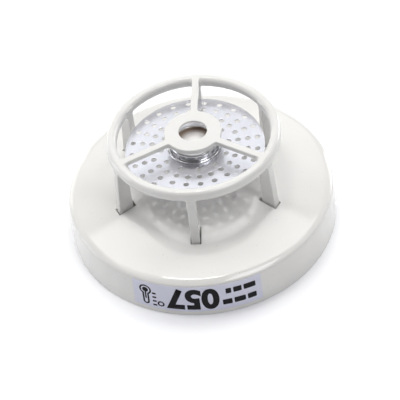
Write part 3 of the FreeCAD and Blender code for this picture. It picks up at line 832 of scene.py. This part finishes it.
def wrap_ink(name, flat):
    """Flat ink artwork in label coordinates, cut into narrow strips and wrapped on the skirt."""
    mesh = bpy.data.meshes.new_from_object(flat)
    bpy.data.objects.remove(flat)
    work = bmesh.new()
    work.from_mesh(mesh)
    bpy.data.meshes.remove(mesh)
    bmesh.ops.remove_doubles(work, verts=work.verts, dist=INK_MERGE / 2)
    cuts = math.ceil(max(abs(vertex.co.x) for vertex in work.verts) / INK_STRIP)
    for cut in range(-cuts, cuts + 1):
        bmesh.ops.bisect_plane(
            work,
            geom=work.verts[:] + work.edges[:] + work.faces[:],
            plane_co=(cut * INK_STRIP, 0, 0),
            plane_no=(1, 0, 0),
        )
    bmesh.ops.remove_doubles(work, verts=work.verts, dist=INK_MERGE)
    bmesh.ops.dissolve_degenerate(work, dist=INK_MERGE, edges=work.edges)
    work.verts.ensure_lookup_table()
    middle = (LABEL_BOTTOM + LABEL_TOP) / 2
    proud = LABEL_GAP + LABEL_THICKNESS
    work.verts.index_update()
    vertices = [on_skirt(vertex.co.x, middle - vertex.co.y, proud) for vertex in work.verts]
    faces = [[vertex.index for vertex in face.verts] for face in work.faces]
    work.free()
    piece = add_piece(name, vertices, faces, "label_ink")
    for polygon in piece.data.polygons:
        outward = Vector((polygon.center.x, polygon.center.y, 0))
        if polygon.normal.dot(outward) < 0:
            polygon.flip()
    thickness = piece.modifiers.new("ink_layer", "SOLIDIFY")
    thickness.thickness = INK_THICKNESS * MM
    thickness.offset = 1
    return piece


def flat_outlines(name, outlines):
    """A filled flat curve object from closed outlines; an outline inside another is a hole."""
    data = bpy.data.curves.new(name, "CURVE")
    data.dimensions = "2D"
    data.fill_mode = "FRONT"
    for outline in outlines:
        spline = data.splines.new("POLY")
        spline.points.add(len(outline) - 1)
        for point, (x, y) in zip(spline.points, outline):
            point.co = (x, y, 0, 1)
        spline.use_cyclic_u = True
    flat = linked(name, data)
    bpy.context.view_layer.update()
    return flat


def arc_points(x, y, radius, start, end, steps=24):
    """Points on an arc; angles in degrees."""
    angles = np.radians(np.linspace(start, end, steps + 1))
    return [(x + radius * math.cos(angle), y + radius * math.sin(angle)) for angle in angles]


def rounded_bar(x, y, width, height, rounding):
    """A bar's outline with rounded corners, from its lower left corner."""
    points = []
    for centre_x, centre_y, start in (
        (x + width - rounding, y + rounding, -90),
        (x + width - rounding, y + height - rounding, 0),
        (x + rounding, y + height - rounding, 90),
        (x + rounding, y + rounding, 180),
    ):
        points += arc_points(centre_x, centre_y, rounding, start, start + 90, 5)
    return points


def thermometer(x, y, height, bulb, stem):
    """A thermometer sign's outline: a round bulb with a stem that ends in a half circle."""
    opening = math.degrees(math.asin(stem / bulb))
    outline = arc_points(x, y + bulb, bulb, 90 + opening, 450 - opening, 36)
    outline += arc_points(x, y + height - stem, stem, 0, 180, 16)
    return outline


def make_label_ink():
    """Generic signs in bold black: a number, a degree ring, a thermometer and two rows of bars."""
    data = bpy.data.curves.new("number", "FONT")
    data.body = NUMBER
    data.size = NUMBER_TEXT_SIZE
    data.align_x = "CENTER"
    data.offset = NUMBER_BOLD
    data.space_character = 1.02
    data.resolution_u = 8
    number = linked("number", data)
    bpy.context.view_layer.update()
    box = np.array(number.bound_box)
    low, high = box.min(axis=0), box.max(axis=0)
    mesh = bpy.data.meshes.new_from_object(number)
    bpy.data.objects.remove(number)
    middle = (low + high) / 2
    wide, tall = NUMBER_SIZE
    for vertex in mesh.vertices:
        x, y = vertex.co.x - middle[0], vertex.co.y - middle[1]
        vertex.co.x = x * wide / (high[0] - low[0]) + NUMBER_MIDDLE
        vertex.co.y = y * tall / (high[1] - low[1])
    number = linked("number", mesh)
    bpy.context.view_layer.update()

    degree = [arc_points(*DEGREE_MIDDLE, radius, 0, 360 - 7.5, 47) for radius in DEGREE_RADII]
    sign = [thermometer(THERMOMETER_X, *sizes) for sizes in THERMOMETERS]
    left, bottom = TICK_START
    ticks = [
        rounded_bar(left, bottom + TICK_PITCH * step, *TICK_SIZE, TICK_ROUND)
        for step in range(TICK_COUNT)
    ]
    bars = []
    for base, widths in BAR_ROWS:
        start = BAR_START
        for width in widths:
            bars.append(rounded_bar(start, base, width, BAR_HEIGHT, BAR_ROUND))
            start += width + BAR_SPACE
    return [wrap_ink("label_number", number)] + [
        wrap_ink(f"label_{name}", flat_outlines(name, outlines)) for name, outlines in (
            ("degree_ring", degree),
            ("thermometer", sign),
            ("scale_ticks", ticks),
            ("bars", bars),
        )
    ]


# ------------------------ materials


class Shader:
    """A material's nodes: one Principled shader and helpers that add what feeds it."""

    def __init__(self, name, **fixed):
        self.material = bpy.data.materials.new(name)
        self.material.use_nodes = True
        self.nodes = self.material.node_tree.nodes
        self.links = self.material.node_tree.links
        self.nodes.clear()
        self.surface = self.add("BsdfPrincipled", **fixed)
        self.add("OutputMaterial", Surface=self.surface.outputs[0])
        scale = self.add("VectorMath")
        scale.operation = "SCALE"
        self.feed(scale.inputs[0], self.add("TexCoord").outputs["Object"])
        self.feed(scale.inputs["Scale"], 1 / MM)
        self.place = scale.outputs[0]

    def feed(self, socket, value):
        """Links another node's output to a socket, or sets the socket's constant value."""
        if isinstance(value, bpy.types.NodeSocket):
            self.links.new(value, socket)
        else:
            socket.default_value = value

    def add(self, kind, **values):
        """A new node, with what feeds its named sockets."""
        node = self.nodes.new("ShaderNode" + kind)
        for socket, value in values.items():
            self.feed(node.inputs[socket.replace("_", " ")], value)
        return node

    def noise(self, size, detail=3.0, stretch=(1, 1, 1), roughness=0.5, place=None):
        """Noise whose features are about size millimetres across, stretched along the axes."""
        scales = [1 / (size * factor) for factor in stretch]
        place = self.add("Mapping", Vector=place or self.place, Scale=scales).outputs[0]
        return self.add(
            "TexNoise", Vector=place, Scale=1.0, Detail=detail, Roughness=roughness
        ).outputs["Fac"]

    def split_place(self):
        """X, Y, Z and the reach from the Z axis, in millimetres."""
        x, y, z = self.add("SeparateXYZ", Vector=self.place).outputs
        square = self.math("ADD", self.math("MULTIPLY", x, x), self.math("MULTIPLY", y, y))
        return x, y, z, self.math("SQRT", square)

    def around_axis(self, upright=1.0):
        """Coordinates that barely change round the Z axis, for turned and drawn surfaces."""
        x, y, z, reach = self.split_place()
        angle = self.math("ARCTAN2", y, x)
        turn = self.math("MULTIPLY", self.math("COSINE", angle), 0.6)
        height = self.math("MULTIPLY", z, upright)
        return self.add("CombineXYZ", X=reach, Y=turn, Z=height).outputs[0]

    def math(self, operation, first, second=None):
        """An operation on one or two values, each a socket or a plain number."""
        node = self.add("Math")
        node.operation = operation
        self.feed(node.inputs[0], first)
        if second is not None:
            self.feed(node.inputs[1], second)
        return node.outputs[0]

    def ramp(self, factor, low, high, start=0.3, end=0.7):
        """A number that runs from low to high as the factor goes from start to end."""
        return self.add(
            "MapRange", Value=factor, From_Min=start, From_Max=end, To_Min=low, To_Max=high
        ).outputs[0]

    def colours(self, factor, stops):
        """A colour that runs through (position, colour) stops."""
        node = self.add("ValToRGB")
        elements = node.color_ramp.elements
        while len(elements) < len(stops):
            elements.new(0.5)
        for element, (position, colour) in zip(elements, stops):
            element.position = position
            element.color = (*colour, 1)
        self.feed(node.inputs[0], factor)
        return node.outputs[0]

    def mix(self, factor, first, second):
        """A blend of two colours, each a socket or a plain colour."""
        node = self.add("Mix")
        node.data_type = "RGBA"
        self.feed(node.inputs[0], factor)
        for socket, value in ((node.inputs[6], first), (node.inputs[7], second)):
            self.feed(socket, (*value, 1) if isinstance(value, tuple) else value)
        return node.outputs[2]

    def set(self, socket, value):
        """Feeds one of the Principled shader's sockets."""
        self.feed(self.surface.inputs[socket], value)

    def bump(self, *layers):
        """Stacked bumps of (height, depth in millimetres)."""
        below = None
        for height, depth in layers:
            node = self.add("Bump", Strength=1.0, Distance=depth * MM, Height=height)
            if below:
                self.feed(node.inputs["Normal"], below)
            below = node.outputs[0]
        self.set("Normal", below)


def shade(colour, factor):
    """A colour made lighter or darker."""
    return tuple(channel * factor for channel in colour)


def moulded(name, colour, roughness, grain=0.004, wave=0.02, specks=True, **fixed):
    """Gloss or satin mouldings: faint flow marks, orange peel, dust specks and handling marks."""
    s = Shader(name, **fixed)
    flow = s.noise(22, 3, (1, 1, 2.0))
    fine = s.noise(1.1, 4)
    tone = s.colours(flow, [(0.3, shade(colour, 0.972)), (0.7, shade(colour, 1.012))])
    tone = s.mix(s.ramp(fine, 0.0, 0.10, 0.45, 0.75), tone, shade(colour, 0.93))
    if specks:
        dots = s.ramp(s.noise(0.55, 1), 0.0, 0.6, 0.765, 0.80)
        tone = s.mix(dots, tone, (0.24, 0.22, 0.20))
    s.set("Base Color", tone)
    smear = s.noise(6.5, 5, (1.0, 2.5, 1.0), 0.62)
    s.set("Roughness", s.math(
        "ADD",
        s.ramp(smear, roughness * 0.82, roughness * 1.25),
        s.ramp(fine, -0.01, 0.02),
    ))
    s.bump((s.noise(9.0, 2), wave), (fine, grain))
    return s.material


def rolled_aluminium(name):
    """Bright rolled sheet: fine grain along X, faint scratches and a satin bloom."""
    s = Shader(name, Metallic=0.84, Anisotropic=0.15)
    grain = s.noise(0.12, 3, (60, 1, 1))
    cloud = s.noise(7.0, 4)
    scratch = s.ramp(s.noise(0.07, 2, (220, 1.3, 1), 0.7), 0.0, 1.0, 0.66, 0.74)
    tone = s.colours(cloud, [(0.3, (0.80, 0.805, 0.86)), (0.7, (0.83, 0.835, 0.885))])
    tone = s.mix(s.ramp(grain, 0.0, 0.30), tone, (0.77, 0.775, 0.83))
    s.set("Base Color", tone)
    bloom = s.math("ADD", s.ramp(cloud, -0.02, 0.03), s.math("MULTIPLY", scratch, 0.08))
    s.set("Roughness", s.math("ADD", s.ramp(grain, 0.19, 0.26), bloom))
    s.bump((s.noise(12.0, 2), 0.002), (grain, 0.0003), (scratch, 0.0005))
    return s.material


def drawn_metal(name, colour, roughness, streak=0.06, bump=0.0004):
    """Drawn or turned metal: streaks round the axis, small dents and a little tarnish."""
    s = Shader(name, Metallic=1.0)
    lines = s.noise(0.16, 4, place=s.around_axis())
    cloud = s.noise(3.0, 4)
    tone = s.colours(cloud, [(0.3, shade(colour, 0.88)), (0.7, shade(colour, 1.0))])
    tone = s.mix(s.ramp(lines, 0.0, streak * 3), tone, shade(colour, 0.72))
    s.set("Base Color", tone)
    s.set("Roughness", s.math(
        "ADD", s.ramp(lines, roughness * 0.7, roughness * 1.4), s.ramp(cloud, -0.02, 0.04)
    ))
    s.bump((s.noise(4.0, 2), 0.0006), (lines, bump))
    return s.material


def stamped_metal(name, colour, roughness, tarnish):
    """Stamped strip: rolling grain, blotchy tarnish and burnished spots."""
    s = Shader(name, Metallic=1.0)
    grain = s.noise(0.10, 3, (40, 1, 1))
    blotch = s.noise(2.4, 5, roughness=0.65)
    tone = s.colours(blotch, [(0.35, tarnish), (0.6, colour)])
    tone = s.mix(s.ramp(grain, 0.0, 0.3), tone, shade(colour, 0.75))
    s.set("Base Color", tone)
    s.set("Roughness", s.math(
        "ADD", s.ramp(blotch, roughness * 1.5, roughness * 0.8), s.ramp(grain, -0.03, 0.05)
    ))
    s.bump((s.noise(1.6, 2), 0.01), (grain, 0.002))
    return s.material


def matt_solid(name, colour, spot, roughness, grain_size, grain_depth, **fixed):
    """Rubber, phenolic or ceramic: a mottled body with a fine grain."""
    s = Shader(name, **fixed)
    mottle = s.noise(grain_size * 6, 5, roughness=0.6)
    grain = s.noise(grain_size, 4)
    tone = s.colours(mottle, [(0.35, colour), (0.65, spot)])
    tone = s.mix(s.ramp(grain, 0.0, 0.35, 0.5, 0.75), tone, shade(spot, 1.25))
    s.set("Base Color", tone)
    s.set("Roughness", s.ramp(mottle, roughness * 0.85, roughness * 1.12))
    s.bump((mottle, grain_depth * 2), (grain, grain_depth))
    return s.material


def bimetal(name):
    """The snap disc's matt faces: warm grey, with painted shade that turns them brown towards the rim under the
    cap's lip, faint rings and rolling marks.
    """
    s = Shader(name, Metallic=0.35)
    reach = s.split_place()[3]
    rings = s.noise(0.9, 3, place=s.around_axis(upright=0.0))
    grain = s.noise(0.10, 3, (30, 1, 1))
    # Painted shade: the tone runs from near white at the middle to brown towards the rim, where the cap's lip
    # shades the disc; the rings shift it a little.
    rim_shade_and_rings = s.math("ADD", s.ramp(reach, 0.0, 1.0, RIM_SHADE_START, RIM_SHADE_END), s.ramp(rings, -0.08, 0.08))
    tone = s.colours(rim_shade_and_rings, [
        (0.0, (0.93, 0.92, 0.91)), (0.45, (0.88, 0.85, 0.82)), (0.8, (0.68, 0.57, 0.49)),
        (1.0, (0.50, 0.38, 0.30)),
    ])
    tone = s.mix(s.ramp(grain, 0.0, 0.12), tone, (0.66, 0.60, 0.54))
    s.set("Base Color", tone)
    s.set("Roughness", s.ramp(grain, 0.36, 0.46))
    s.bump((s.noise(3.0, 2), 0.004), (grain, 0.0006))
    return s.material


def label_paper(name):
    """Printed film: smooth, pale lavender, with small air bubbles under it."""
    s = Shader(name, Coat_Weight=0.25, Coat_Roughness=0.2)
    cloud = s.noise(8.0, 4)
    fibre = s.noise(0.35, 4)
    tone = s.colours(cloud, [(0.3, (0.69, 0.695, 0.83)), (0.7, (0.74, 0.745, 0.87))])
    tone = s.mix(s.ramp(fibre, 0.0, 0.2), tone, (0.65, 0.655, 0.79))
    s.set("Base Color", tone)
    s.set("Roughness", s.ramp(fibre, 0.34, 0.44))
    s.bump((s.noise(4.5, 2), 0.012), (fibre, 0.0006))
    return s.material


def label_ink(name):
    """Screen ink: dense black, slightly glossy, thin in places."""
    s = Shader(name, Specular_IOR_Level=0.12)
    thin = s.noise(0.5, 4)
    s.set("Base Color", s.colours(thin, [
        (0.3, (0.006, 0.006, 0.007)), (0.75, (0.016, 0.015, 0.018)),
    ]))
    s.set("Roughness", s.ramp(thin, 0.48, 0.62))
    s.bump((thin, 0.002))
    return s.material


MATERIALS = {
    "cover_plastic": moulded("cover_abs", (0.815, 0.805, 0.780), 0.09, grain=0.0006, wave=0.006),
    "guard_plastic": moulded(
        "guard_abs", (0.820, 0.812, 0.790), 0.09, grain=0.0005, wave=0.004, specks=False
    ),
    "collector_aluminium": rolled_aluminium("rolled_aluminium"),
    "cap_metal": drawn_metal("nickelled_cap", (0.90, 0.90, 0.92), 0.16, 0.03, 0.00003),
    "clamp_metal": drawn_metal("bright_bead", (0.95, 0.95, 0.97), 0.07, 0.02, 0.00002),
    "keeper_metal": drawn_metal("turned_keeper", (0.80, 0.78, 0.75), 0.22),
    "snap_disc_metal": bimetal("bimetal_strip"),
    "label_paper": label_paper("label_film"),
    "label_ink": label_ink("screen_ink"),
    "moulded_phenolic": matt_solid(
        "brown_phenolic", (0.055, 0.022, 0.012), (0.095, 0.042, 0.022), 0.42, 0.5, 0.004
    ),
    "pin_ceramic": matt_solid(
        "glazed_ceramic", (0.78, 0.75, 0.68), (0.84, 0.82, 0.76), 0.30, 0.3, 0.002
    ),
    "seal_rubber": matt_solid(
        "seal_rubber", (0.012, 0.012, 0.013), (0.028, 0.027, 0.027), 0.62, 0.25, 0.006
    ),
    "spring_steel": stamped_metal("spring_steel", (0.52, 0.53, 0.55), 0.26, (0.36, 0.37, 0.42)),
    "terminal_brass": stamped_metal("brass_strip", (0.82, 0.61, 0.26), 0.24, (0.55, 0.37, 0.15)),
    "arm_bronze": stamped_metal("bronze_strip", (0.78, 0.50, 0.30), 0.24, (0.52, 0.31, 0.17)),
    "contact_silver": drawn_metal("contact_silver", (0.90, 0.89, 0.86), 0.18),
    "rivet_metal": stamped_metal("rivet_brass", (0.74, 0.58, 0.32), 0.28, (0.52, 0.38, 0.20)),
    "chassis_plastic": moulded(
        "chassis_abs", (0.60, 0.59, 0.565), 0.38, grain=0.012, wave=0.015, specks=False
    ),
    "screw_steel": stamped_metal("zinc_screw", (0.66, 0.66, 0.62), 0.26, (0.50, 0.48, 0.38)),
}


def dress(pieces):
    """Gives each new piece and each CAD node that still shows the material of its slot."""
    for piece in pieces:
        piece.data.materials.clear()
        piece.data.materials.append(MATERIALS[piece["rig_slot"]])
    for part in frame["record"]["subparts"]:
        for place in frame["nodes"][part["node"]].material_slots:
            place.material = MATERIALS[part["material_slot"]]


pieces = [
    make_cover(),
    *make_screw_bosses(),
    make_guard_cage(),
    make_collector_disc(),
    make_clamp_ring(),
    make_thermostat_cap(),
    make_keeper_ring(),
    make_snap_disc(),
    make_label_film(),
    *make_label_ink(),
]
dress(pieces)


# ------------------------ camera, floor and light

TARGET = Vector((0, 0, 20 * MM))
CAMERA_DISTANCE = 403.1 * MM
CAMERA_AZIMUTH = math.radians(7.47)
CAMERA_ELEVATION = math.radians(45.17)
CAMERA_ROLL = math.radians(-7.94)
CAMERA_PAN = math.radians(-0.12)
CAMERA_TILT = math.radians(-1.42)
SENSOR_WIDTH = 36.0
FOCAL_LENGTH = 99.05
STEEP = 0.8
FLOOR_HALF = 1.5
FLOOR_GAP = 0.0002
FLOOR_GLOW = 0.12
GLOW_COLOUR = (0.86, 0.88, 1.0, 1)
WORLD_COLOUR = (0.93, 0.94, 1.0, 1)
WORLD_STRENGTH = 0.05
EXPOSURE = 0.10

# Name, place, width, height and power of each soft light, in metres and watts, and its colour.
SOFTBOXES = [
    ("overhead", (-0.11, 0.09, 0.98), 0.30, 0.12, 1.6, (1.0, 0.99, 0.97)),
    ("ceiling", (0.00, 0.38, 1.02), 1.35, 0.40, 5.4, (1.0, 0.993, 0.982)),
    ("front_right", (0.36, -0.28, 0.90), 0.40, 0.40, 2.6, (0.98, 0.985, 1.0)),
    ("left_high", (-0.47, 0.00, 0.90), 0.40, 0.40, 0.8, (1.0, 1.0, 0.99)),
    ("left_low", (-0.98, 0.05, 0.18), 0.50, 0.40, 2.1, (0.94, 0.96, 1.0)),
    ("back_window", (-0.08, 0.84, 0.70), 1.00, 0.70, 1.9, (0.97, 0.98, 1.0)),
    ("back_right", (0.72, 0.70, 0.20), 0.45, 0.40, 2.5, (0.98, 0.99, 1.0)),
    ("back_left", (-0.70, 0.70, 0.20), 0.45, 0.40, 1.1, (1.0, 1.0, 0.95)),
]


def add_camera():
    """The camera, turned from its aim at the target by small pan, tilt and roll angles."""
    back = Vector((
        math.sin(CAMERA_AZIMUTH) * math.cos(CAMERA_ELEVATION),
        -math.cos(CAMERA_AZIMUTH) * math.cos(CAMERA_ELEVATION),
        math.sin(CAMERA_ELEVATION),
    ))
    forward = -back
    right = forward.cross(Vector((0, 0, 1))).normalized()
    up = right.cross(forward)
    forward = (forward + math.tan(CAMERA_PAN) * right + math.tan(CAMERA_TILT) * up).normalized()
    right = forward.cross(up).normalized()
    up = right.cross(forward)
    side = math.cos(CAMERA_ROLL) * right + math.sin(CAMERA_ROLL) * up
    head = -math.sin(CAMERA_ROLL) * right + math.cos(CAMERA_ROLL) * up
    data = bpy.data.cameras.new("camera")
    data.sensor_width = SENSOR_WIDTH
    data.lens = FOCAL_LENGTH
    data.clip_start = 0.02
    camera = linked("camera", data)
    turn = Matrix((side, head, -forward)).transposed()
    camera.matrix_world = Matrix.Translation(TARGET + back * CAMERA_DISTANCE) @ turn.to_4x4()
    bpy.context.scene.camera = camera


def add_softbox(name, place, width, height, power, colour):
    """A rectangular area light that points at the object, its width level; sizes in metres."""
    data = bpy.data.lights.new(name, "AREA")
    data.shape = "RECTANGLE"
    data.size = width
    data.size_y = height
    data.energy = power
    data.color = colour
    light = linked(name, data)
    light.location = place
    back = (Vector(place) - TARGET).normalized()
    across = Vector((1, 0, 0)) if back.z > STEEP else Vector((0, 0, 1)).cross(back)
    upward = back.cross(across).normalized()
    light.rotation_euler = Matrix((upward.cross(back), upward, back)).transposed().to_euler()


def add_floor():
    """A plain near-white floor with a little glow, like a light table."""
    half = FLOOR_HALF
    corners = [(-half, -half, 0), (half, -half, 0), (half, half, 0), (-half, half, 0)]
    mesh = bpy.data.meshes.new("floor")
    mesh.from_pydata(corners, [], [(0, 1, 2, 3)])
    floor = linked("floor", mesh)
    floor.location.z = -FLOOR_GAP
    s = Shader(
        "floor_paper", Roughness=0.9, Emission_Color=GLOW_COLOUR, Emission_Strength=FLOOR_GLOW
    )
    s.set("Base Color", s.colours(s.noise(40, 3), [
        (0.3, (0.95, 0.95, 0.95)), (0.7, (0.97, 0.97, 0.97)),
    ]))
    mesh.materials.append(s.material)


def add_world():
    """A dim, even, slightly blue surround."""
    world = bpy.data.worlds.new("studio")
    bpy.context.scene.world = world
    world.use_nodes = True
    background = world.node_tree.nodes["Background"]
    background.inputs["Color"].default_value = WORLD_COLOUR
    background.inputs["Strength"].default_value = WORLD_STRENGTH


add_camera()
add_floor()
add_world()
for softbox in SOFTBOXES:
    add_softbox(*softbox)
bpy.context.scene.view_settings.view_transform = "Standard"
bpy.context.scene.view_settings.exposure = EXPOSURE
